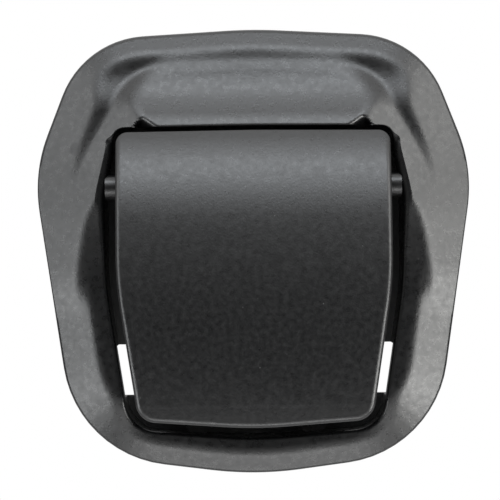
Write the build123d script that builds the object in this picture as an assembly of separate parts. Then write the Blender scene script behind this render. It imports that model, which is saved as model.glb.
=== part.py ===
from build123d import *
from math import cos, radians, sin
import os

# Car seat recliner lever: a hooded bezel with a sprung flap that pulls a cable. Millimetres.
# X runs right and Z up as seen from the front, and Y runs into the seat. The origin is the centre of the
# flange's rear face, which seats on the seat's side trim. A "rise" is a distance from that face towards
# the person who pulls the lever, so it is minus Y. A corner is (x, z, rounding radius), right half only.

# Bezel outline and flange
OUTLINE = [(0, 44.3, 100), (33.6, 42.45, 18.5), (43.9, 16.1, 30), (35.7, -40.2, 23), (0, -44.8, 70)]
RIM_RISE = 1.6
FLANGE_RISE = 6.8
FLANGE_SLOPE = 66
SEAT_RIM_WIDTH = 2.8
FLANGE_POCKET = 1.2

# Raised ring and hood, which stand on the flange
COLLAR = [(0, 39.6, 200), (21.9, 38.9, 8), (38.6, 13.6, 34), (32.6, -37.4, 13), (0, -41.6, 60)]
COLLAR_DRAFT = 3
COLLAR_TOP_RISE = 24
COLLAR_ROOT_RISE = -6
WALL = 2.2
CREST_RADIUS = 4
FOOT_RADIUS = 1.8

# Side profile of the ring and hood: rise of the crest, and the arcs below and above it
CREST_RISE = 19.6
CREST_Z = 6
RING_LOWER_ARC = (115, 25)
RING_UPPER_ARC = (70, 15)
ROOF_ARC = (22, 63)

# Front opening: sides and bottom, and at its top the hood's lip with a notch above each corner of the flap
OPENING_X = 29.5
OPENING_SIDE = [(OPENING_X, -6, 70), (25.0, -35.4, 6.5), (0, -37.2, 90)]
OPENING_LIP = [(0, 23.7, 150), (17.4, 23.9, 0.8), (21.4, 26.9, 0.8), (23.9, 23.7, 1.5), (OPENING_X, 19.8, 5)]
OPENING_EDGE_RADIUS = 0.7

# Tub behind the opening, with a window low on each side
TUB_TOP = [(0, 29.8, 60), (24.4, 28.6, 3), (OPENING_X, 24.2, 3)]
TUB_WALL = 1.8
TUB_DEPTH = 10
WINDOW_TOP_Z = -18.7
WINDOW_BOTTOM_Z = -29
WINDOW_INNER_X = 18
WINDOW_RISE = 9

# Flap, which follows the opening at a gap
FLAP_GAP = 2.45
FLAP_TOP_Z = 23.6
FLAP_TOP_BOW = 0.3
FLAP_CORNER_RADIUS = 2.4
FLAP_WALL = 2.2
FLAP_ROOT_RISE = 3
FLAP_CREST_RISE = 23
FLAP_CREST_Z = -12
FLAP_LOWER_ARC = (150, 12)
FLAP_MIDDLE_ARC = (110, 10)
FLAP_UPPER_ARC = (30, 42)
FLAP_EDGE_RADIUS = 1.2
SKIRT_DEPTH = 9
GRIP_START_Z = -14
GRIP_DEPTH = 4.2

# Hinge
HINGE_RISE = 5
HINGE_Z = 13
PIN_RADIUS = 1.5
PIN_CLEARANCE = 0.05
BOSS_RADIUS = 3.6
LUG_THICKNESS = 3
SPACER_RADIUS = 2.6
SIDE_PLAY = 0.1
KEEPER_FIT = 0.05
KEEPER_CHEEK = 1.0
KEEPER_CHEEK_WIDTH = 6

# Ribs that rest on the bump stops, and the crank arm between them
RIB_X = 10
RIB_THICKNESS = 2.5
STOP_Z = 5.5
STOP_RISE = -3.7
STOP_GAP = 0.1
STOP_RADIUS = 3
STOP_STEM_RADIUS = 1.6
STOP_BARB_RADIUS = 2.3
STOP_BARB_LENGTH = 1.6
ARM_THICKNESS = 6
HOOK_RISE = -1
HOOK_Z = -10
HOOK_RADIUS = 4.4
NIPPLE_RADIUS = 2.6
HOOK_MOUTH = 4.2
CABLE_SLOT = 1.8

# Return spring on the pin, from the rib on the right to a ledge behind the arm
WIRE_RADIUS = 0.45
COIL_RADIUS = 2.9
COIL_PITCH = 1.0
COIL_TURNS = 4.25
COIL_GAP = 0.2
MOVING_LEG = 10.5
FIXED_LEG = 13
PEG_SIZE = 2.2
LEDGE_LENGTH = 5
LEDGE_WIDTH = 2.4
LEDGE_THICKNESS = 2.6

# Back plate, its screws and the seat of the cable's sheath
PLATE_THICKNESS = 2.2
SCREW_PLACES = {"upper": (27.1, 23.1), "lower": (11.5, -34.0)}
SCREW_BOSS_RADIUS = 2.9
SCREW_BOSS_LENGTH = 6
SCREW_HOLE_DEPTH = 5.4
SCREW_RADIUS = 1.3
SCREW_FIT = 0.02
SCREW_PLATE_CLEARANCE = 0.2
SCREW_LENGTH = 7.5
SCREW_HEAD_RADIUS = 2.6
SCREW_HEAD_HEIGHT = 1.7
SCREW_CROSS = (0.7, 3.0, 0.9)
FERRULE_RADIUS = 3.1
FERRULE_DEPTH = 8
FERRULE_WALL = 1.7
FERRULE_FLOOR = 1.2
KEYHOLE_RADIUS = 3.4
KEYHOLE_Z = -0.8

# Blades on the flange's rear, and the folded spring clips on them
BLADE_PLACES = {"upper": (36.4, 14), "lower": (34.6, -12)}
BLADE_THICKNESS = 1.6
BLADE_WIDTH = 9
BLADE_LENGTH = 14
BLADE_ROOT_RISE = 2
BLADE_TIP_CHAMFER = 1.5
CLIP_SHEET = 0.6
CLIP_FIT = 0.03
CLIP_WIDTH = 7
CLIP_LENGTH = 9.5
CLIP_BARB = 2.2
CLIP_BARB_LENGTH = 3

PLAN = Plane.XZ
SIDE = Plane((0, 0, 0), x_dir=(0, -1, 0), z_dir=(-1, 0, 0))
FAR = 120
PLATE_FRONT = -TUB_DEPTH
PLATE_REAR = PLATE_FRONT - PLATE_THICKNESS


def plan_face(corners):
    """Closed outline, the same left and right, from its right-hand corners, top one first."""
    loop = corners + [(-x, z, radius) for x, z, radius in reversed(corners[1:-1])]
    points = [(x, z) for x, z, radius in loop]
    return make_face(FilletPolyline(*points, radius=[radius for x, z, radius in loop], close=True))


def raised(face, low, high, taper=0):
    """Plan face drawn out from one rise to another."""
    return extrude(PLAN.offset(low) * face, amount=high - low, taper=taper)


def block(x, z, low, high):
    """Box between two rises, over ranges of x and z."""
    face = Pos((x[0] + x[1]) / 2, (z[0] + z[1]) / 2) * Rectangle(x[1] - x[0], z[1] - z[0])
    return raised(face, low, high)


def across(face, x, thickness):
    """Side view drawn out along X, centred on x."""
    return Pos(x, 0, 0) * extrude(SIDE * face, amount=thickness / 2, both=True)


def both_sides(solid):
    """The solid and its mirror image on the left."""
    return [solid, mirror(solid, Plane.YZ)]


def under(profile, floor):
    """Everything under a side profile, down to a rise, over more than the object's width."""
    start, end = profile @ 0, profile @ 1
    closing = Polyline((start.X, start.Y), (floor, start.Y), (floor, end.Y), (end.X, end.Y))
    return across(make_face([*profile.edges(), *closing.edges()]), 0, FAR)


def profile_of(crest, crest_z, lower, uppers, drop):
    """Arcs (radius, sweep) that run on tangentially from the crest, lowered by a drop along normals."""
    radius, sweep = lower[0] - drop, radians(lower[1])
    top = crest - drop
    bottom = (top - radius + radius * cos(sweep), crest_z - radius * sin(sweep))
    middle = (top - radius + radius * cos(sweep / 2), crest_z - radius * sin(sweep / 2))
    arcs = [ThreePointArc(bottom, middle, (top, crest_z))]
    for radius, sweep in uppers:
        arcs.append(JernArc(arcs[-1] @ 1, arcs[-1] % 1, radius - drop, sweep))
    return Wire([edge for arc in arcs for edge in arc.edges()])


def ring_profile(drop):
    return profile_of(CREST_RISE, CREST_Z, RING_LOWER_ARC, [RING_UPPER_ARC, ROOF_ARC], drop)


def flap_profile(drop):
    return profile_of(FLAP_CREST_RISE, FLAP_CREST_Z, FLAP_LOWER_ARC, [FLAP_MIDDLE_ARC, FLAP_UPPER_ARC], drop)


def front_edges(solid, root):
    """Edges round the front face: not those that run down to the root, nor the face's own seams."""
    found = []
    for edge in solid.edges():
        lowest = min(-(edge @ 0).Y, -(edge @ 1).Y)
        seam = edge.geom_type == GeomType.LINE and abs((edge % 0.5).X) > 0.999
        if lowest > root + 0.5 and not seam:
            found.append(edge)
    return found


def collar(inset):
    """Raised ring and hood as one block, its faces moved inwards by an inset."""
    face = plan_face(COLLAR)
    if inset:
        face = offset(face, amount=-inset)
    whole = raised(face, COLLAR_ROOT_RISE, COLLAR_TOP_RISE, taper=COLLAR_DRAFT)
    return whole & under(ring_profile(inset), COLLAR_ROOT_RISE - 2)


def rod(x, z, radius, low, high):
    """Cylinder between two rises, along Y."""
    return raised(Pos(x, z) * Circle(radius), low, high)


def tub():
    """Tub behind the front, its screw bosses included, and what is cut from it: windows, slots, screw holes."""
    inner = plan_face(TUB_TOP + OPENING_SIDE)
    outer = offset(inner, amount=TUB_WALL)
    walls = raised(outer - inner, PLATE_FRONT, 0)
    boss_reach = raised(outer, PLATE_FRONT, PLATE_FRONT + SCREW_BOSS_LENGTH)
    half_slot = PIN_RADIUS + PIN_CLEARANCE
    slot = Pos((HINGE_RISE + PLATE_FRONT) / 2, HINGE_Z) * Rectangle(TUB_DEPTH + HINGE_RISE, 2 * half_slot)
    slot += Pos(HINGE_RISE, HINGE_Z) * Circle(half_slot)
    window = block((WINDOW_INNER_X, FAR), (WINDOW_BOTTOM_Z, WINDOW_TOP_Z), PLATE_FRONT, WINDOW_RISE)
    cuts = [part & raised(outer, PLATE_FRONT, COLLAR_TOP_RISE) for part in both_sides(window)]
    cuts.append(across(slot, 0, FAR) & raised(outer, PLATE_FRONT, COLLAR_TOP_RISE))
    for x, z in SCREW_PLACES.values():
        for side in (-x, x):
            boss = rod(side, z, SCREW_BOSS_RADIUS, PLATE_FRONT, PLATE_FRONT + SCREW_BOSS_LENGTH)
            walls += boss & boss_reach
            cuts.append(rod(side, z, SCREW_RADIUS + SCREW_FIT, PLATE_FRONT, PLATE_FRONT + SCREW_HOLE_DEPTH))
    return walls, cuts


def blades():
    """Four blades behind the flange, each with a tapered tip."""
    made = []
    for x, z in BLADE_PLACES.values():
        sides = (x - BLADE_THICKNESS / 2, x + BLADE_THICKNESS / 2)
        blade = block(sides, (z - BLADE_WIDTH / 2, z + BLADE_WIDTH / 2), -BLADE_LENGTH, BLADE_ROOT_RISE)
        tip = blade.edges().filter_by(Axis.X).group_by(Axis.Y)[-1]
        made += both_sides(chamfer(tip, BLADE_TIP_CHAMFER))
    return made


def make_bezel():
    flange = raised(plan_face(OUTLINE), 0, RIM_RISE)
    flange += raised(plan_face(OUTLINE), RIM_RISE, FLANGE_RISE, taper=FLANGE_SLOPE)
    whole = collar(0)
    dome = fillet(front_edges(whole, COLLAR_ROOT_RISE), CREST_RADIUS)
    dome &= block((-FAR, FAR), (-FAR, FAR), 0, FAR)
    joined = flange + dome
    joined = fillet(new_edges(flange, dome, combined=joined), FOOT_RADIUS)

    opening = raised(plan_face(OPENING_LIP + OPENING_SIDE), 0, FAR)
    front = joined - opening
    rim = [
        edge for edge in new_edges(joined, opening, combined=front)
        if -(edge @ 0.5).Y > WINDOW_RISE and abs((edge % 0.5).Y) < 0.9
    ]
    front = fillet(rim, OPENING_EDGE_RADIUS)

    inner = plan_face(TUB_TOP + OPENING_SIDE)
    ring = raised(offset(inner, amount=TUB_WALL) - inner, COLLAR_ROOT_RISE - 1, COLLAR_TOP_RISE)
    hollow = collar(WALL) - ring
    pocket = raised(offset(plan_face(OUTLINE), amount=-SEAT_RIM_WIDTH), 0, FLANGE_POCKET) - ring
    walls, cuts = tub()
    return front - hollow - pocket + walls + blades() - cuts


def make_flap():
    top = FLAP_TOP_Z + FLAP_GAP
    corners = [(0, top + FLAP_TOP_BOW, 150), (OPENING_X, top, FLAP_CORNER_RADIUS + FLAP_GAP)]
    face = offset(plan_face(corners + OPENING_SIDE), amount=-FLAP_GAP)
    whole = raised(face, FLAP_ROOT_RISE, FAR) & under(flap_profile(0), FLAP_ROOT_RISE - 1)
    whole = fillet(front_edges(whole, FLAP_ROOT_RISE), FLAP_EDGE_RADIUS)
    hollow = raised(offset(face, amount=-FLAP_WALL), -FAR, FAR) & under(flap_profile(FLAP_WALL), -FAR)
    shell = whole - hollow - under(flap_profile(SKIRT_DEPTH), FLAP_ROOT_RISE - 1)
    low_z = OPENING_SIDE[-1][1]
    front = flap_profile(0) @ 0
    grip = Polyline(
        (FLAP_CREST_RISE - SKIRT_DEPTH, GRIP_START_Z),
        (front.X - GRIP_DEPTH, low_z),
        (-FAR, low_z),
        (-FAR, GRIP_START_Z),
        close=True,
    )
    shell -= across(make_face(grip), 0, FAR)
    skin = under(flap_profile(FLAP_WALL / 2), -FAR)
    inside = skin & raised(offset(face, amount=-FLAP_WALL / 2), -FAR, FAR)

    boss = Pos(HINGE_RISE, HINGE_Z) * Circle(BOSS_RADIUS)
    lug = boss + make_face(
        Polyline(
            (HINGE_RISE - 1, HINGE_Z + BOSS_RADIUS * 0.9),
            (FLAP_CREST_RISE - 6, HINGE_Z + 7),
            (FLAP_CREST_RISE - 2, HINGE_Z - 9),
            (HINGE_RISE - 1, HINGE_Z - BOSS_RADIUS * 0.9),
            close=True,
        )
    )
    lug_x = OPENING_X - FLAP_GAP - LUG_THICKNESS / 2
    shell += [part & skin for part in both_sides(across(lug, lug_x, LUG_THICKNESS))]
    spacer_length = FLAP_GAP + LUG_THICKNESS - SIDE_PLAY
    spacer_x = OPENING_X - SIDE_PLAY - spacer_length / 2
    spacer = across(Pos(HINGE_RISE, HINGE_Z) * Circle(SPACER_RADIUS), spacer_x, spacer_length)
    shell += both_sides(spacer)

    rib = boss + make_face(
        Polyline(
            (HINGE_RISE + 4, HINGE_Z + 4.5),
            (FLAP_CREST_RISE - 6, HINGE_Z + 8.5),
            (FLAP_CREST_RISE, HINGE_Z - 17),
            (HINGE_RISE, STOP_Z - 5.5),
            (STOP_RISE, STOP_Z - 2.5),
            (STOP_RISE, STOP_Z + 2.5),
            (HINGE_RISE - BOSS_RADIUS, HINGE_Z),
            close=True,
        )
    )
    shell += [part & inside for part in both_sides(across(rib, RIB_X, RIB_THICKNESS))]

    arm = boss + Pos(HOOK_RISE, HOOK_Z) * Circle(HOOK_RADIUS)
    arm += make_face(
        Polyline(
            (HINGE_RISE + 4, HINGE_Z + 4.5),
            (FLAP_CREST_RISE - 6, HINGE_Z + 8.5),
            (FLAP_CREST_RISE, HINGE_Z - 19),
            (HOOK_RISE + HOOK_RADIUS * 0.8, HOOK_Z - HOOK_RADIUS * 0.6),
            (HOOK_RISE - HOOK_RADIUS, HOOK_Z),
            (HINGE_RISE - BOSS_RADIUS, HINGE_Z),
            close=True,
        )
    )
    arm = across(arm, 0, ARM_THICKNESS) & inside
    mouth = Pos(HOOK_RISE, HOOK_Z) * Circle(NIPPLE_RADIUS)
    mouth += Pos(HOOK_RISE, HOOK_Z - HOOK_RADIUS) * Rectangle(HOOK_MOUTH, 2 * HOOK_RADIUS)
    arm -= across(mouth, 0, FAR)
    wire_way = Pos(HOOK_RISE - HOOK_RADIUS, HOOK_Z - HOOK_RADIUS) * Rectangle(
        2 * HOOK_RADIUS, 2 * HOOK_RADIUS + CABLE_SLOT
    )
    arm -= across(wire_way, 0, CABLE_SLOT)
    shell += arm

    leg_rise = HINGE_RISE + COIL_RADIUS - WIRE_RADIUS
    peg_z = HINGE_Z - MOVING_LEG + PEG_SIZE
    rib_side = RIB_X - RIB_THICKNESS / 2
    shell += block((rib_side - PEG_SIZE, rib_side), (peg_z - PEG_SIZE / 2, peg_z + PEG_SIZE / 2),
                   leg_rise - PEG_SIZE, leg_rise)
    bore = Pos(HINGE_RISE, HINGE_Z) * Circle(PIN_RADIUS + PIN_CLEARANCE)
    return shell - across(bore, 0, FAR)


def make_pin():
    length = 2 * (OPENING_X + TUB_WALL)
    pin = across(Pos(HINGE_RISE, HINGE_Z) * Circle(PIN_RADIUS), 0, length)
    return chamfer(pin.edges().filter_by(GeomType.CIRCLE), 0.3)


def make_spring():
    start_x = RIB_X - RIB_THICKNESS / 2 - COIL_GAP - WIRE_RADIUS
    end_x = start_x - COIL_TURNS * COIL_PITCH
    axis = Plane((start_x, -HINGE_RISE, HINGE_Z), x_dir=(0, -1, 0), z_dir=(-1, 0, 0))
    coil = Helix(pitch=COIL_PITCH, height=COIL_TURNS * COIL_PITCH, radius=COIL_RADIUS)
    spring = sweep(Plane(coil @ 0, z_dir=coil % 0) * Circle(WIRE_RADIUS), path=coil, is_frenet=True)
    spring = axis * spring
    front_y = -HINGE_RISE - COIL_RADIUS
    moving = Plane((start_x, front_y, HINGE_Z), z_dir=(0, 0, -1)) * Circle(WIRE_RADIUS)
    fixed = Plane((end_x, -HINGE_RISE, HINGE_Z + COIL_RADIUS), z_dir=(0, 1, 0)) * Circle(WIRE_RADIUS)
    spring += extrude(moving, amount=MOVING_LEG)
    spring += extrude(fixed, amount=FIXED_LEG)
    spring += Pos(start_x, front_y, HINGE_Z) * Sphere(WIRE_RADIUS)
    spring += Pos(end_x, -HINGE_RISE, HINGE_Z + COIL_RADIUS) * Sphere(WIRE_RADIUS)
    return spring


def make_back_plate():
    inner = plan_face(TUB_TOP + OPENING_SIDE)
    plate = raised(offset(inner, amount=TUB_WALL), PLATE_REAR, PLATE_FRONT)
    window = block((WINDOW_INNER_X, FAR), (WINDOW_BOTTOM_Z, WINDOW_TOP_Z), PLATE_REAR, PLATE_FRONT)
    plate -= both_sides(window)

    wall_face = OPENING_X + TUB_WALL
    half_slot = PIN_RADIUS + PIN_CLEARANCE - KEEPER_FIT
    tongue_tip = HINGE_RISE - PIN_RADIUS - KEEPER_FIT
    slot_z = (HINGE_Z - half_slot, HINGE_Z + half_slot)
    tongue = block((OPENING_X + KEEPER_FIT, wall_face), slot_z, PLATE_FRONT, tongue_tip)
    cheek_z = (HINGE_Z - KEEPER_CHEEK_WIDTH / 2, HINGE_Z + KEEPER_CHEEK_WIDTH / 2)
    cheek_face = wall_face + KEEPER_FIT + KEEPER_CHEEK
    cheek = block((wall_face + KEEPER_FIT, cheek_face), cheek_z, PLATE_REAR, HINGE_RISE + PIN_RADIUS)
    foot = block((OPENING_X, cheek_face), cheek_z, PLATE_REAR, PLATE_FRONT)
    plate += both_sides(tongue) + both_sides(cheek) + both_sides(foot)

    ledge_x = RIB_X - RIB_THICKNESS / 2 - COIL_GAP - WIRE_RADIUS - COIL_TURNS * COIL_PITCH
    ledge_top = HINGE_Z + COIL_RADIUS - WIRE_RADIUS
    plate += block((ledge_x - LEDGE_WIDTH / 2, ledge_x + LEDGE_WIDTH / 2),
                   (ledge_top - LEDGE_THICKNESS, ledge_top), PLATE_FRONT, PLATE_FRONT + LEDGE_LENGTH)

    seat_end = PLATE_REAR - FERRULE_FLOOR - FERRULE_DEPTH
    plate += rod(0, HOOK_Z, FERRULE_RADIUS + FERRULE_WALL, seat_end, PLATE_REAR)
    plate -= rod(0, HOOK_Z, FERRULE_RADIUS, seat_end, seat_end + FERRULE_DEPTH)
    wire_z = (HOOK_Z - CABLE_SLOT / 2, KEYHOLE_Z)
    plate -= block((-CABLE_SLOT / 2, CABLE_SLOT / 2), wire_z, seat_end, PLATE_FRONT)
    plate -= rod(0, KEYHOLE_Z, KEYHOLE_RADIUS, seat_end, PLATE_FRONT)

    for x, z in SCREW_PLACES.values():
        for side in (-x, x):
            plate -= rod(side, z, SCREW_RADIUS + SCREW_PLATE_CLEARANCE, PLATE_REAR, PLATE_FRONT)
    for side in (-RIB_X, RIB_X):
        plate -= rod(side, STOP_Z, STOP_STEM_RADIUS, PLATE_REAR, PLATE_FRONT)
    return plate


def make_bump_stop(x):
    stop = rod(x, STOP_Z, STOP_RADIUS, PLATE_FRONT, STOP_RISE - STOP_GAP)
    stop = fillet(stop.edges().group_by(Axis.Y)[0], 0.8)
    stop += rod(x, STOP_Z, STOP_STEM_RADIUS, PLATE_REAR, PLATE_FRONT)
    barb = Pos(x, STOP_Z) * Circle(STOP_BARB_RADIUS)
    return stop + extrude(Plane.XZ.offset(PLATE_REAR) * barb, amount=-STOP_BARB_LENGTH, taper=30)


def make_screw(x, z):
    head = rod(x, z, SCREW_HEAD_RADIUS, PLATE_REAR - SCREW_HEAD_HEIGHT, PLATE_REAR)
    head = fillet(head.edges().group_by(Axis.Y)[-1], 0.9)
    width, length, depth = SCREW_CROSS
    top = PLATE_REAR - SCREW_HEAD_HEIGHT
    head -= block((x - length / 2, x + length / 2), (z - width / 2, z + width / 2), top, top + depth)
    head -= block((x - width / 2, x + width / 2), (z - length / 2, z + length / 2), top, top + depth)
    shank = rod(x, z, SCREW_RADIUS, PLATE_REAR, PLATE_REAR + SCREW_LENGTH)
    return head + chamfer(shank.edges().group_by(Axis.Y)[0], 0.8)


def make_clip(x, z):
    """Spring-steel strip folded over a blade, with a barb on its outer leg that holds the trim panel."""
    half = BLADE_THICKNESS / 2 + CLIP_FIT + CLIP_SHEET / 2
    tip = BLADE_LENGTH + CLIP_FIT + CLIP_SHEET / 2
    path = Polyline(
        (x - half, tip - CLIP_LENGTH),
        (x - half, tip),
        (x + half, tip),
        (x + half + CLIP_BARB, tip - CLIP_LENGTH + CLIP_BARB_LENGTH),
        (x + half, tip - CLIP_LENGTH),
    )
    return Pos(0, 0, z - CLIP_WIDTH / 2) * extrude(trace(path, line_width=CLIP_SHEET), amount=CLIP_WIDTH)


def save(solid, name):
    solids = solid.solids()
    export_step(solids[0] if len(solids) == 1 else Compound(solids), f"parts/{name}.step")


os.makedirs("parts", exist_ok=True)
save(make_bezel(), "bezel")
save(make_flap(), "flap")
save(make_pin(), "hinge_pin")
save(make_spring(), "return_spring")
save(make_back_plate(), "back_plate")
for hand, sign in (("left", -1), ("right", 1)):
    save(make_bump_stop(sign * RIB_X), f"bump_stop_{hand}")
    for level, (x, z) in SCREW_PLACES.items():
        save(make_screw(sign * x, z), f"screw_{level}_{hand}")
    for level, (x, z) in BLADE_PLACES.items():
        clip = make_clip(x, z)
        save(clip if sign > 0 else mirror(clip, Plane.YZ), f"panel_clip_{level}_{hand}")
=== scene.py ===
import math

import bmesh
import bpy
from mathutils import Matrix, Vector
import numpy as np


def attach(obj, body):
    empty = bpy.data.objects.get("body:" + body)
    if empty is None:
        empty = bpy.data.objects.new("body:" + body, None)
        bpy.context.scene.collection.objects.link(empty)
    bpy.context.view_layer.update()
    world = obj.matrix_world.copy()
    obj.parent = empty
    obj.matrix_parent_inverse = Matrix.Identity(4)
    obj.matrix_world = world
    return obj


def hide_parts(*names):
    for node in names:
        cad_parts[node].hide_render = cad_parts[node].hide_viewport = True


# Car seat recliner lever, seen straight from the front on white. Metres, in the model's own frame: X right,
# Z up, and the front faces -Y. Outlines, rises and depths of the mouldings are in millimetres.

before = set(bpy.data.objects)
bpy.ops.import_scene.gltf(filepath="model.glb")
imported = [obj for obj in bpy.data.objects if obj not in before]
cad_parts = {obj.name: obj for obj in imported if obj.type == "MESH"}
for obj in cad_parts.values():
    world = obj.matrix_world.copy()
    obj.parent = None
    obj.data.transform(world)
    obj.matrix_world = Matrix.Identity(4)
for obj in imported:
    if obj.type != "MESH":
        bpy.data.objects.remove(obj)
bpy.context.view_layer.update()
MM = 1000

# Photograph: camera and its small roll
CAMERA_DISTANCE = 0.68
PICTURE_WIDTH = 0.1
PICTURE_CENTRE = (-0.0008, 0.0002)
CAMERA_ROLL = math.radians(-0.6)
SENSOR = 36

# Light: radiance of the surroundings outside and inside a dark cone about the camera, what the sky adds to it
# straight above, and soft boxes
SURROUND = 0.15
CONE_LEVEL = 0.04
DARK_CONE = (math.radians(18), math.radians(56))
SKY_GLOW = 1.3
SOFT_BOXES = {
    "top": dict(azimuth=0, elevation=45, size=(0.8, 0.28), radiance=4.4, colour=(0.9, 0.95, 1.0)),
    "right": dict(azimuth=54, elevation=3, size=(0.42, 1.3), radiance=3.6, colour=(1.0, 1.0, 0.98)),
    "left": dict(azimuth=-54, elevation=3, size=(0.38, 1.3), radiance=2.4, colour=(0.97, 0.99, 1.0)),
    "low_right": dict(azimuth=54, elevation=-22, size=(0.4, 0.5), radiance=3.8, colour=(1.0, 1.0, 0.98)),
    "low_left": dict(azimuth=-54, elevation=-22, size=(0.35, 0.5), radiance=2.0, colour=(0.97, 0.99, 1.0)),
    "below": dict(azimuth=0, elevation=-52, size=(0.7, 0.3), radiance=2.9, colour=(1.0, 1.0, 1.0)),
}
BOX_DISTANCE = 0.9
FLOOR_HEIGHT = -0.9
FLOOR_REACH = 3.0
FLOOR_TONES = ((0.5, 0.5, 0.5, 1), (0.52, 0.52, 0.52, 1))
FLOOR_WHITENESS = 0.9

# Outlines of the mouldings: a corner is (x, z, rounding radius), right half from the top down
OUTLINE = [(0, 44.3, 100), (33.6, 42.45, 18.5), (43.9, 16.1, 30), (35.7, -40.2, 23), (0, -44.8, 70)]
SIDE = [(29.5, -6, 70), (25.0, -35.4, 6.5), (0, -37.2, 90)]
OPENING = [(0, 24.75, 150), (27.6, 24.55, 2.2), (27.8, 19, 10), (29.5, 11, 12)] + SIDE
TUB = [(0, 29.8, 60), (24.4, 28.6, 3), (29.5, 24.2, 3)] + SIDE
FLAP_ROOM = [(0, 26.35, 150), (29.5, 26.05, 4.85)] + SIDE
HOOD_FOOT = [(0, 38.9, 200), (22.8, 38.4, 15), (36.9, 14.4, 26), (34.0, -16, 15), (0, -17, 60)]
MIDDLE = np.array((0.0, -6.0))
ANGLES = np.linspace(-math.pi, math.pi, 600, endpoint=False)
ARC_POINTS = 13
SIDE_STEPS = 24
INSET_PASSES = 8

# Bezel's front: rises in front of the seating plane, tilts of the sloped faces, and how wide creases are rounded.
# The rim's edge is a list of (inset, rise). The ring falls beyond RING_END[0] up and down, over a length of
# RING_END[1].
RIM_EDGE = [(0.0, 0.0), (0.0, 1.1), (0.1, 1.45)]
RIM_INSET = 0.3
RIM_RISE = 1.6
RING_RISE = 5.2
RING_FALL = 1.6
RING_END = (28, 9)
FLANGE_TILT = math.radians(26)
HOOD_TILT = math.radians(27)
HOOD_CREST = [(-20, 3.6), (-14, 4.2), (-3, 5.4), (6, 6.6), (13.5, 8.7), (20, 10.2), (24.3, 9.9), (27, 8.4),
              (30, 6.7), (33.5, 5.2), (37, 4.2), (40.5, 3.6), (43, 3.0)]
CREST_SPREAD = np.linspace(-3, 3, 13)
RING_BLEND = 0.6
RIDGE_BLEND = 0.7
FOOT_BLEND = 0.5
FRONT_RINGS = np.linspace(0, 1, 58) ** 0.95

# Edge of the opening: its radius, and the z above which it is the hood's or the lip's with the length of the
# change. Behind it, the lip's thickness at the opening and at the tub.
EDGE_RADIUS = {"ring": 0.8, "hood": 2.0, "lip": 0.3}
HOOD_START = (-2, 12)
LIP_START = (20.5, 3)
EDGE_ANGLES = np.radians((15, 30, 45, 60, 75, 90))
LIP = (1.0, 3.4)

# Bezel's rear: thickness of the skin, its least rise, and the widths of the tub's wall and the seating rim
SKIN = 2.2
LEAST_RISE = 0.4
REAR_RINGS = np.linspace(0, 1, 8)
TUB_WALL = 1.8
SEAT_RIM = 2.8

# Dips of the hood at the flap's upper corners, right one: its two sides are a direction down into it and a width,
# first the crisp side and then the soft one
DIP_APEX = (22.0, 27.2)
DIP_FOOT = 20.5
DIP_FADE = 2.5
DIP_DEPTH = 3.5
DIP_SIDES = [((-0.825, -0.567), 0.8), ((0.562, -0.827), 3.2)]

# Blades' ends in metres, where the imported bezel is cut: they are moved up into the new front skin
CUT_PLANE = 1e-6
BLADE_X = (0.0325, 0.039)
BLADE_Z = 0.02
BLADE_RISE = 0.0032

# Side profile of the flap as (z, sine of its tilt): as packed, and as the photograph's shading has it. Only what
# lies in front of FLAP_BASE is moved.
FLAP_GRID = np.linspace(-42, 26, 681)
GRID_STEP = 0.1
PACKED_CREST = 23.0
PACKED_TILT = [(-42, -0.2), (-12, 0.0), (7.1, 0.174), (26, 0.804)]
FLAP_CREST = 18.8
FLAP_TILT = [(-42, -0.187), (-14, 0.0), (4.1, 0.139), (15.3, 0.342), (26, 0.61)]
FLAP_BASE = 9.0
FLAP_GAP = 2.45
LONG_EDGE = 0.003

# Flap's side skirts, whose rear edge rises from GRIP_TOP down to the grip at GRIP_END, so that fingers fit behind
SKIRT_REAR = 4.0
SKIRT_WALL = 2.0
SKIRT_INSET = 0.05
SKIRT_DROP = 1.9
SKIRT_HEIGHT = 0.6
SKIRT_BEVEL = 0.3
GRIP_TOP = -24
GRIP_END = -36
GRIP_DROP = 1.5
GRIP_DEPTH = 3.5

# Meshes: distance within which doubled vertices are joined, in metres, and the angle of a sharp edge
DOUBLED = 1e-7
SHARP_ANGLE = math.radians(32)

# Colours of the black mouldings
BLACK = (0.0016, 0.0017, 0.0019, 1)
RUBBED = (0.0024, 0.0025, 0.0027, 1)
WORN_EDGE = (0.012, 0.012, 0.0125, 1)
DUST = (0.11, 0.11, 0.11, 1)
PLATE_BLACK = (0.02, 0.02, 0.02, 1)
PLATE_RUBBED = (0.03, 0.03, 0.029, 1)
PLATE_EDGE = (0.06, 0.06, 0.06, 1)
RUBBER_BLACK = (0.012, 0.012, 0.012, 1)
RUBBER_BLOOM = (0.03, 0.03, 0.029, 1)
GREY_SPOT = (0.006, 0.006, 0.0065, 1)
SCUFF = (0.06, 0.06, 0.062, 1)

# Marks on the bezel: place, radius, colour and change of roughness
MARKS = [
    ((-0.0352, -0.0045, 0.0206), 0.0014, GREY_SPOT, 0.12),
    ((0.0292, -0.016, -0.0195), 0.0007, SCUFF, 0.1),
    ((-0.0342, -0.0065, -0.0058), 0.0003, SCUFF, 0.1),
    ((-0.0332, -0.0065, -0.0238), 0.0003, SCUFF, 0.1),
]

# Steels: colour, dull colour, roughness, and how the streaks are stretched along X, Y and Z
PIN = ((0.62, 0.62, 0.64, 1), (0.4, 0.4, 0.4, 1), 0.28, (0.05, 1, 1))
SPRING = ((0.42, 0.42, 0.44, 1), (0.25, 0.24, 0.23, 1), 0.32, (1, 1, 1))
SCREW = ((0.66, 0.67, 0.66, 1), (0.5, 0.49, 0.42, 1), 0.3, (1, 0.2, 1))
CLIP = ((0.16, 0.16, 0.165, 1), (0.09, 0.09, 0.09, 1), 0.48, (1, 1, 0.1))


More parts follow.
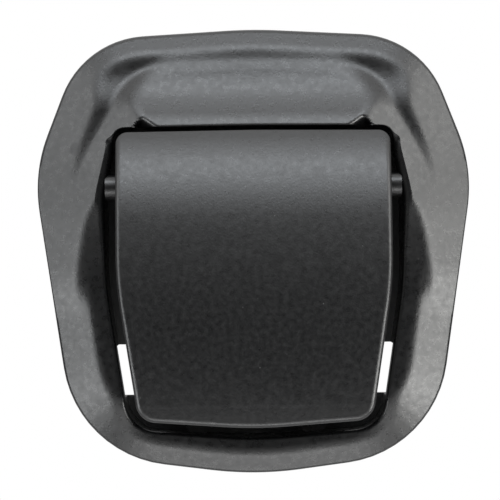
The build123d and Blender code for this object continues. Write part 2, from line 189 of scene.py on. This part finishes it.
class Shader:
    """A material's node tree, built up call by call."""

    def __init__(self, name):
        self.material = bpy.data.materials.new(name)
        self.material.use_nodes = True
        self.nodes = self.material.node_tree.nodes
        self.links = self.material.node_tree.links
        self.body = self.nodes["Principled BSDF"]
        self.place = self.nodes.new("ShaderNodeTexCoord").outputs["Object"]

    def feed(self, socket, value):
        if isinstance(value, bpy.types.NodeSocket):
            self.links.new(value, socket)
        else:
            socket.default_value = value

    def noise(self, size, detail=2.0, rough=0.5, stretch=None):
        """Noise whose largest bumps are about this size in metres."""
        node = self.nodes.new("ShaderNodeTexNoise")
        node.inputs["Scale"].default_value = 1 / size
        node.inputs["Detail"].default_value = detail
        node.inputs["Roughness"].default_value = rough
        place = self.place
        if stretch:
            mapping = self.nodes.new("ShaderNodeMapping")
            mapping.inputs["Scale"].default_value = stretch
            self.links.new(place, mapping.inputs["Vector"])
            place = mapping.outputs["Vector"]
        self.links.new(place, node.inputs["Vector"])
        return node.outputs["Fac"]

    def spots(self, size):
        """Distance to the nearest of many scattered points, in cells of this size."""
        node = self.nodes.new("ShaderNodeTexVoronoi")
        node.inputs["Scale"].default_value = 1 / size
        self.links.new(self.place, node.inputs["Vector"])
        return node.outputs["Distance"]

    def remap(self, value, low, high, to_low=0.0, to_high=1.0):
        node = self.nodes.new("ShaderNodeMapRange")
        self.feed(node.inputs["Value"], value)
        node.inputs["From Min"].default_value = low
        node.inputs["From Max"].default_value = high
        node.inputs["To Min"].default_value = to_low
        node.inputs["To Max"].default_value = to_high
        return node.outputs["Result"]

    def math(self, operation, first, second=0.0):
        node = self.nodes.new("ShaderNodeMath")
        node.operation = operation
        self.feed(node.inputs[0], first)
        self.feed(node.inputs[1], second)
        return node.outputs["Value"]

    def blend(self, amount, first, second):
        node = self.nodes.new("ShaderNodeMix")
        node.data_type = "RGBA"
        self.feed(node.inputs["Factor"], amount)
        self.feed(node.inputs["A"], first)
        self.feed(node.inputs["B"], second)
        return node.outputs["Result"]

    def near(self, point, inner, outer):
        """1 within one distance of a point, 0 beyond another."""
        node = self.nodes.new("ShaderNodeVectorMath")
        node.operation = "DISTANCE"
        self.links.new(self.place, node.inputs[0])
        node.inputs[1].default_value = point
        return self.remap(node.outputs["Value"], inner, outer, 1.0, 0.0)

    def edges(self, low, high):
        """1 on sharp outer edges, 0 on flats."""
        node = self.nodes.new("ShaderNodeNewGeometry")
        return self.remap(node.outputs["Pointiness"], low, high)

    def bump(self, height, depth, strength=1.0, below=None):
        node = self.nodes.new("ShaderNodeBump")
        node.inputs["Strength"].default_value = strength
        node.inputs["Distance"].default_value = depth
        self.links.new(height, node.inputs["Height"])
        if below:
            self.links.new(below, node.inputs["Normal"])
        return node.outputs["Normal"]

    def finish(self, colour, roughness, normal=None, metallic=0.0, specular=0.5):
        self.feed(self.body.inputs["Base Color"], colour)
        self.feed(self.body.inputs["Roughness"], roughness)
        self.body.inputs["Metallic"].default_value = metallic
        self.body.inputs["Specular IOR Level"].default_value = specular
        if normal:
            self.links.new(normal, self.body.inputs["Normal"])
        return self.material


def grained_plastic(name, colour, rub, roughness, marks=()):
    """Black moulded plastic with a fine spark-eroded grain, faint mottling, dust and rubbed edges."""
    shader = Shader(name)
    grain = shader.noise(0.00045, detail=3.0, rough=0.65)
    coarse = shader.noise(0.0011, detail=2.0)
    mottle = shader.noise(0.011, detail=4.0)
    dust = shader.remap(shader.spots(0.0042), 0.035, 0.02)
    worn = shader.edges(0.53, 0.6)
    shade = shader.blend(shader.remap(mottle, 0.35, 0.65), colour, rub)
    shade = shader.blend(shader.math("MULTIPLY", worn, 0.3), shade, WORN_EDGE)
    shade = shader.blend(shader.math("MULTIPLY", dust, 0.5), shade, DUST)
    gloss = shader.remap(coarse, 0.3, 0.7, roughness - 0.05, roughness + 0.05)
    for point, radius, tone, change in marks:
        spot = shader.near(point, radius * 0.8, radius)
        shade = shader.blend(shader.math("MULTIPLY", spot, 0.8), shade, tone)
        gloss = shader.math("ADD", gloss, shader.math("MULTIPLY", spot, change))
    normal = shader.bump(coarse, 0.00001, 1.0)
    normal = shader.bump(grain, 0.00003, 1.0, below=normal)
    return shader.finish(shade, gloss, normal, specular=0.75)


def plain_plastic(name, colour, rub, roughness):
    """Hidden moulding, smoother, with flow mottling."""
    shader = Shader(name)
    mottle = shader.noise(0.009, detail=5.0)
    fine = shader.noise(0.0006, detail=2.0)
    shade = shader.blend(shader.remap(mottle, 0.3, 0.7), colour, rub)
    shade = shader.blend(shader.math("MULTIPLY", shader.edges(0.53, 0.6), 0.4), shade, PLATE_EDGE)
    gloss = shader.remap(mottle, 0.3, 0.7, roughness - 0.06, roughness + 0.08)
    return shader.finish(shade, gloss, shader.bump(fine, 0.00003, 0.4))


def rubber(name):
    """Black rubber, very matt, with a faint grey bloom."""
    shader = Shader(name)
    bloom = shader.noise(0.002, detail=4.0)
    shade = shader.blend(shader.remap(bloom, 0.4, 0.7), RUBBER_BLACK, RUBBER_BLOOM)
    return shader.finish(shade, shader.remap(bloom, 0.3, 0.7, 0.75, 0.92), shader.bump(bloom, 0.00005, 0.5))


def steel(name, colour, dull, roughness, stretch):
    """Plated or drawn steel, streaked along one direction and stained where it is dull."""
    shader = Shader(name)
    streak = shader.noise(0.0005, detail=3.0, stretch=stretch)
    stain = shader.noise(0.003, detail=5.0)
    shade = shader.blend(shader.remap(stain, 0.45, 0.75), colour, dull)
    gloss = shader.math("ADD", shader.remap(streak, 0.3, 0.7, roughness - 0.08, roughness + 0.1),
                        shader.remap(stain, 0.45, 0.75, 0.0, 0.15))
    return shader.finish(shade, gloss, shader.bump(streak, 0.00001, 0.5), metallic=1.0)


def dress(nodes, material):
    """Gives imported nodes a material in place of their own."""
    for node in nodes:
        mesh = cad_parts[node].data
        mesh.materials.clear()
        mesh.materials.append(material)


def rounded(corners):
    """Points round an outline, the same left and right, with its corners rounded."""
    loop = corners + [(-x, z, radius) for x, z, radius in reversed(corners[1:-1])]
    points = []
    for index, (x, z, radius) in enumerate(loop):
        here = np.array((x, z))
        back = np.array(loop[index - 1][:2]) - here
        onward = np.array(loop[(index + 1) % len(loop)][:2]) - here
        back /= np.linalg.norm(back)
        onward /= np.linalg.norm(onward)
        half = math.acos(back @ onward) / 2
        centre = here + (back + onward) / np.linalg.norm(back + onward) * radius / math.sin(half)
        start = here + back * radius / math.tan(half) - centre
        end = here + onward * radius / math.tan(half) - centre
        turn = math.pi - 2 * half
        for share in np.linspace(0, 1, ARC_POINTS):
            points.append(centre + (math.sin((1 - share) * turn) * start + math.sin(share * turn) * end)
                          / math.sin(turn))
    return np.array(points)


def reach(loop, centre, angles):
    """Distance from a centre to an outline, in each direction."""
    steps = np.linspace(0, 1, SIDE_STEPS, endpoint=False)[:, None]
    dense = np.concatenate([loop[i - 1] + (loop[i] - loop[i - 1]) * steps for i in range(len(loop))]) - centre
    heading = np.arctan2(dense[:, 1], dense[:, 0])
    order = np.argsort(heading)
    return np.interp(angles, heading[order], np.hypot(dense[:, 0], dense[:, 1])[order], period=2 * math.pi)


def depth(loop, spots):
    """How far each spot lies inside an outline, negative outside."""
    step = np.roll(loop, -1, 0) - loop
    away = spots[:, None] - loop
    along = np.clip((away * step).sum(-1) / np.maximum((step * step).sum(-1), 1e-12), 0, 1)
    near = np.linalg.norm(away - along[..., None] * step, axis=-1).min(1)
    centre = loop.mean(0)
    off = spots - centre
    inside = np.hypot(off[:, 0], off[:, 1]) < reach(loop, centre, np.arctan2(off[:, 1], off[:, 0]))
    return np.where(inside, near, -near)


def place(radius):
    """The spots at one radius, or one for each direction, round the middle."""
    return MIDDLE + np.stack([np.cos(ANGLES), np.sin(ANGLES)], 1) * np.broadcast_to(radius, ANGLES.shape)[:, None]


def at_depth(loop, amount):
    """Radius in each direction of the outline moved inwards by an amount."""
    radius = reach(loop, MIDDLE, ANGLES) - amount
    for _ in range(INSET_PASSES):
        radius += depth(loop, place(radius)) - amount
    return radius


def lower(first, second, blend):
    """The lower of two surfaces, with the crease between them rounded."""
    crease = np.clip(1 - np.abs(first - second) / blend, 0, 1)
    return np.minimum(first, second) - crease * crease * blend / 4


def smooth(value):
    """Eased step from 0 to 1 while the value goes from 0 to 1."""
    value = np.clip(value, 0, 1)
    return value * value * (3 - 2 * value)


def crest(z):
    """Rise of the hood's side profile, with its corners smoothed."""
    places, rises = zip(*HOOD_CREST)
    return sum(np.interp(z + offset, places, rises) for offset in CREST_SPREAD) / len(CREST_SPREAD)


def corner_dip(x, z):
    """How far the hood dips at the flap's upper corners: crisp towards its ridge, soft towards the middle."""
    dip = DIP_DEPTH * smooth((z - DIP_FOOT) / DIP_FADE)
    x, z = x - DIP_APEX[0], z - DIP_APEX[1]
    for (across, up), width in DIP_SIDES:
        dip = dip * smooth((across * x + up * z) / width)
    return dip


def front_rise(spots):
    """Rise of the bezel's front: sloped flange, ring round the opening, and the hood over the flap."""
    z = spots[:, 1]
    end, length = RING_END
    ring = RING_RISE - RING_FALL * (smooth((z - end) / length) + smooth((-end - z) / length))
    flange = lower(RIM_RISE + depth(rounded(OUTLINE), spots) * math.tan(FLANGE_TILT), ring, RING_BLEND)
    flank = ring + depth(rounded(HOOD_FOOT), spots) * math.tan(HOOD_TILT)
    hood = lower(flank, crest(z), RIDGE_BLEND)
    return -lower(-flange, -hood, FOOT_BLEND) - corner_dip(np.abs(spots[:, 0]), z)


def add_band(shape, sections):
    """Closed band round the middle: each section is a radius and a rise for each direction."""
    rings = []
    for radius, rise in sections:
        spots = place(radius)
        rises = np.broadcast_to(rise, ANGLES.shape)
        rings.append([shape.verts.new((x / MM, -up / MM, z / MM)) for (x, z), up in zip(spots, rises)])
    for ring, following in zip(rings, rings[1:] + rings[:1]):
        for i in range(len(ring)):
            shape.faces.new((ring[i - 1], ring[i], following[i], following[i - 1]))


def copy_of(node):
    """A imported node's mesh as an editable copy, its doubled vertices joined."""
    shape = bmesh.new()
    shape.from_mesh(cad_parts[node].data)
    bmesh.ops.remove_doubles(shape, verts=shape.verts, dist=DOUBLED)
    return shape


def piece_from(shape, name, node, body):
    """Turns a shape into a piece that stands for a node of the frame."""
    bmesh.ops.recalc_face_normals(shape, faces=shape.faces)
    mesh = bpy.data.meshes.new(name)
    shape.to_mesh(mesh)
    shape.free()
    if "custom_normal" in mesh.attributes:
        mesh.attributes.remove(mesh.attributes["custom_normal"])
    mesh.shade_smooth()
    mesh.set_sharp_from_angle(angle=SHARP_ANGLE)
    piece = bpy.data.objects.new(name, mesh)
    bpy.context.collection.objects.link(piece)
    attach(piece, body)
    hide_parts(node)
    return piece


def make_bezel():
    """The bezel: its packed tub and blades, under a front skin with the photographed slopes."""
    shape = copy_of("bezel")
    bmesh.ops.bisect_plane(shape, geom=shape.verts[:] + shape.edges[:] + shape.faces[:], plane_co=(0, 0, 0),
                           plane_no=(0, -1, 0), clear_outer=True)
    for vert in shape.verts:
        if vert.co.y < CUT_PLANE and BLADE_X[0] < abs(vert.co.x) < BLADE_X[1] and abs(vert.co.z) < BLADE_Z:
            vert.co.y = -BLADE_RISE
    outer = reach(rounded(OUTLINE), MIDDLE, ANGLES)
    inner = reach(rounded(OPENING), MIDDLE, ANGLES)
    tub = reach(rounded(TUB), MIDDLE, ANGLES)
    tub_out = at_depth(rounded(TUB), -TUB_WALL)
    seat = at_depth(rounded(OUTLINE), SEAT_RIM)
    height = place(inner)[:, 1]
    hooded, lipped = [smooth((height - start) / length) for start, length in (HOOD_START, LIP_START)]
    edge = EDGE_RADIUS["ring"] * (1 - hooded) + EDGE_RADIUS["hood"] * hooded
    edge = edge * (1 - lipped) + EDGE_RADIUS["lip"] * lipped
    sections = [(outer - inset, rise) for inset, rise in RIM_EDGE]
    for share in FRONT_RINGS:
        radius = (outer - RIM_INSET) * (1 - share) + (inner + edge) * share
        sections.append((radius, front_rise(place(radius))))
    lip = sections[-1][1]
    for angle in EDGE_ANGLES:
        sections.append((inner + edge * (1 - math.sin(angle)), lip - edge * (1 - math.cos(angle))))
    sections += [(inner, lip - edge - LIP[0]), (np.maximum(tub, inner), lip - edge - LIP[1])]
    sections += [(tub, 0.0), (tub_out, 0.0)]
    for share in REAR_RINGS:
        radius = tub_out * (1 - share) + np.maximum(seat, tub_out) * share
        sections.append((radius, np.maximum(front_rise(place(radius)) - SKIN, LEAST_RISE)))
    sections.append((np.maximum(seat, tub_out), 0.0))
    add_band(shape, sections)
    return piece_from(shape, "bezel_moulding", "bezel", "housing")


def flap_rise(z, top, tilt):
    """Rise of the flap's front at z, from the rise of its crest and its tilt."""
    sine = np.interp(FLAP_GRID, *zip(*tilt))
    fall = np.concatenate([[0], np.cumsum((sine / np.sqrt(1 - sine ** 2))[:-1] * GRID_STEP)])
    return top - np.interp(z, FLAP_GRID, fall - fall.min())


def make_flap():
    """The flap: its packed shell, ribs and arm brought to the photographed curve, with deep side skirts."""
    shape = copy_of("flap")
    bmesh.ops.triangulate(shape, faces=shape.faces[:])
    for _ in range(2):
        long = [edge for edge in shape.edges if abs(edge.verts[0].co.z - edge.verts[1].co.z) > LONG_EDGE]
        bmesh.ops.subdivide_edges(shape, edges=long, cuts=1)
        bmesh.ops.triangulate(shape, faces=[face for face in shape.faces if len(face.verts) > 3])
    for vert in shape.verts:
        rise, z = -vert.co.y * MM, vert.co.z * MM
        if rise > FLAP_BASE:
            share = ((flap_rise(z, FLAP_CREST, FLAP_TILT) - FLAP_BASE)
                     / (flap_rise(z, PACKED_CREST, PACKED_TILT) - FLAP_BASE))
            vert.co.y = -(FLAP_BASE + (rise - FLAP_BASE) * share) / MM
    out = at_depth(rounded(FLAP_ROOM), FLAP_GAP + SKIRT_INSET)
    inside = at_depth(rounded(FLAP_ROOM), FLAP_GAP + SKIRT_WALL)
    z = place(out)[:, 1]
    top = flap_rise(z, FLAP_CREST, FLAP_TILT) - SKIRT_DROP
    grip = np.interp(z, (GRIP_END, GRIP_TOP), (FLAP_CREST - GRIP_DROP - GRIP_DEPTH, SKIRT_REAR))
    rear = np.minimum(grip, top - SKIRT_HEIGHT)
    add_band(shape, [(out, rear + SKIRT_BEVEL), (out, top), (inside, top), (inside, rear), (out - SKIRT_BEVEL, rear)])
    return piece_from(shape, "flap_moulding", "flap", "flap")


def aim(thing, target, roll=0.0):
    """Points an object's -Z at a place, with its own up as near Z as can be."""
    turn = (target - thing.location).to_track_quat("-Z", "Y").to_matrix().to_4x4()
    thing.matrix_world = Matrix.Translation(thing.location) @ turn @ Matrix.Rotation(roll, 4, "Z")


def direction(azimuth, elevation):
    """Unit vector towards a light: azimuth from the front to the right, elevation up, in degrees."""
    azimuth, elevation = math.radians(azimuth), math.radians(elevation)
    flat = math.cos(elevation)
    return Vector((math.sin(azimuth) * flat, -math.cos(azimuth) * flat, math.sin(elevation)))


def soft_box(name, azimuth, elevation, size, radiance, colour):
    """Rectangular light that faces the part and that the camera doesn't see."""
    lamp = bpy.data.lights.new("soft_box_" + name, "AREA")
    lamp.shape = "RECTANGLE"
    lamp.size, lamp.size_y = size
    lamp.energy = radiance * math.pi * size[0] * size[1]
    lamp.color = colour
    holder = bpy.data.objects.new("soft_box_" + name, lamp)
    bpy.context.collection.objects.link(holder)
    holder.location = direction(azimuth, elevation) * BOX_DISTANCE
    aim(holder, Vector((0, 0, 0)))
    holder.visible_camera = False


def make_world():
    """White surroundings with a dark cone towards the camera. What the camera itself sees is white."""
    world = bpy.data.worlds.new("white_room")
    bpy.context.scene.world = world
    world.use_nodes = True
    nodes, links = world.node_tree.nodes, world.node_tree.links
    nodes.clear()
    place = nodes.new("ShaderNodeTexCoord").outputs["Generated"]
    facing = nodes.new("ShaderNodeVectorMath")
    facing.operation = "DOT_PRODUCT"
    links.new(place, facing.inputs[0])
    facing.inputs[1].default_value = (0, -1, 0)
    level = nodes.new("ShaderNodeMapRange")
    level.interpolation_type = "SMOOTHSTEP"
    links.new(facing.outputs["Value"], level.inputs["Value"])
    level.inputs["From Min"].default_value = math.cos(DARK_CONE[1])
    level.inputs["From Max"].default_value = math.cos(DARK_CONE[0])
    level.inputs["To Min"].default_value = SURROUND
    level.inputs["To Max"].default_value = CONE_LEVEL
    height = nodes.new("ShaderNodeSeparateXYZ")
    links.new(place, height.inputs[0])
    glow = nodes.new("ShaderNodeMapRange")
    links.new(height.outputs["Z"], glow.inputs["Value"])
    glow.inputs["To Max"].default_value = SKY_GLOW
    both = nodes.new("ShaderNodeMath")
    links.new(level.outputs["Result"], both.inputs[0])
    links.new(glow.outputs["Result"], both.inputs[1])
    room = nodes.new("ShaderNodeBackground")
    links.new(both.outputs["Value"], room.inputs["Strength"])
    white = nodes.new("ShaderNodeBackground")
    path = nodes.new("ShaderNodeLightPath")
    mix = nodes.new("ShaderNodeMixShader")
    links.new(path.outputs["Is Camera Ray"], mix.inputs["Fac"])
    links.new(room.outputs["Background"], mix.inputs[1])
    links.new(white.outputs["Background"], mix.inputs[2])
    for background in (room, white):
        background.inputs["Color"].default_value = (1, 1, 1, 1)
    out = nodes.new("ShaderNodeOutputWorld")
    links.new(mix.outputs["Shader"], out.inputs["Surface"])


def make_floor(height):
    """Plain pale floor, which the camera sees nearly white, with a faint shadow."""
    mesh = bpy.data.meshes.new("floor")
    corners = [(x * FLOOR_REACH, y * FLOOR_REACH, height) for x, y in ((-1, -1), (1, -1), (1, 1), (-1, 1))]
    mesh.from_pydata(corners, [], [(0, 1, 2, 3)])
    floor = bpy.data.objects.new("floor", mesh)
    bpy.context.collection.objects.link(floor)
    shader = Shader("floor_white")
    tone = shader.blend(shader.noise(0.5, detail=1.0), *FLOOR_TONES)
    shader.finish(tone, 0.9, specular=0.1)
    glow = shader.nodes.new("ShaderNodeEmission")
    path = shader.nodes.new("ShaderNodeLightPath")
    mix = shader.nodes.new("ShaderNodeMixShader")
    shader.links.new(shader.math("MULTIPLY", path.outputs["Is Camera Ray"], FLOOR_WHITENESS), mix.inputs["Fac"])
    shader.links.new(shader.body.outputs["BSDF"], mix.inputs[1])
    shader.links.new(glow.outputs["Emission"], mix.inputs[2])
    glow.inputs["Strength"].default_value = 1.0
    shader.links.new(mix.outputs["Shader"], shader.nodes["Material Output"].inputs["Surface"])
    mesh.materials.append(shader.material)


def make_camera():
    """Long lens straight in front, framed and rolled as the photograph is."""
    lens = bpy.data.cameras.new("camera")
    lens.sensor_width = SENSOR
    lens.lens = SENSOR * CAMERA_DISTANCE / PICTURE_WIDTH
    lens.clip_start = 0.01
    camera = bpy.data.objects.new("camera", lens)
    bpy.context.collection.objects.link(camera)
    centre = Vector((PICTURE_CENTRE[0], 0, PICTURE_CENTRE[1]))
    camera.location = centre + Vector((0, -CAMERA_DISTANCE, 0))
    aim(camera, centre, CAMERA_ROLL)
    bpy.context.scene.camera = camera


make_world()
for name, settings in SOFT_BOXES.items():
    soft_box(name, **settings)
make_camera()
make_floor(FLOOR_HEIGHT)

make_bezel().data.materials.append(grained_plastic("bezel_black", BLACK, RUBBED, 0.3, MARKS))
make_flap().data.materials.append(grained_plastic("flap_black", BLACK, RUBBED, 0.32))
dress(["back_plate"], plain_plastic("plate_black", PLATE_BLACK, PLATE_RUBBED, 0.45))
dress(["bump_stop_left", "bump_stop_right"], rubber("buffer_black"))
dress(["hinge_pin"], steel("pin_steel", *PIN))
dress(["return_spring"], steel("spring_steel", *SPRING))
CORNERS = [f"{level}_{hand}" for level in ("upper", "lower") for hand in ("left", "right")]
dress([f"screw_{corner}" for corner in CORNERS], steel("screw_zinc", *SCREW))
dress([f"panel_clip_{corner}" for corner in CORNERS], steel("clip_phosphate", *CLIP))

bpy.context.scene.view_settings.view_transform = "Standard"
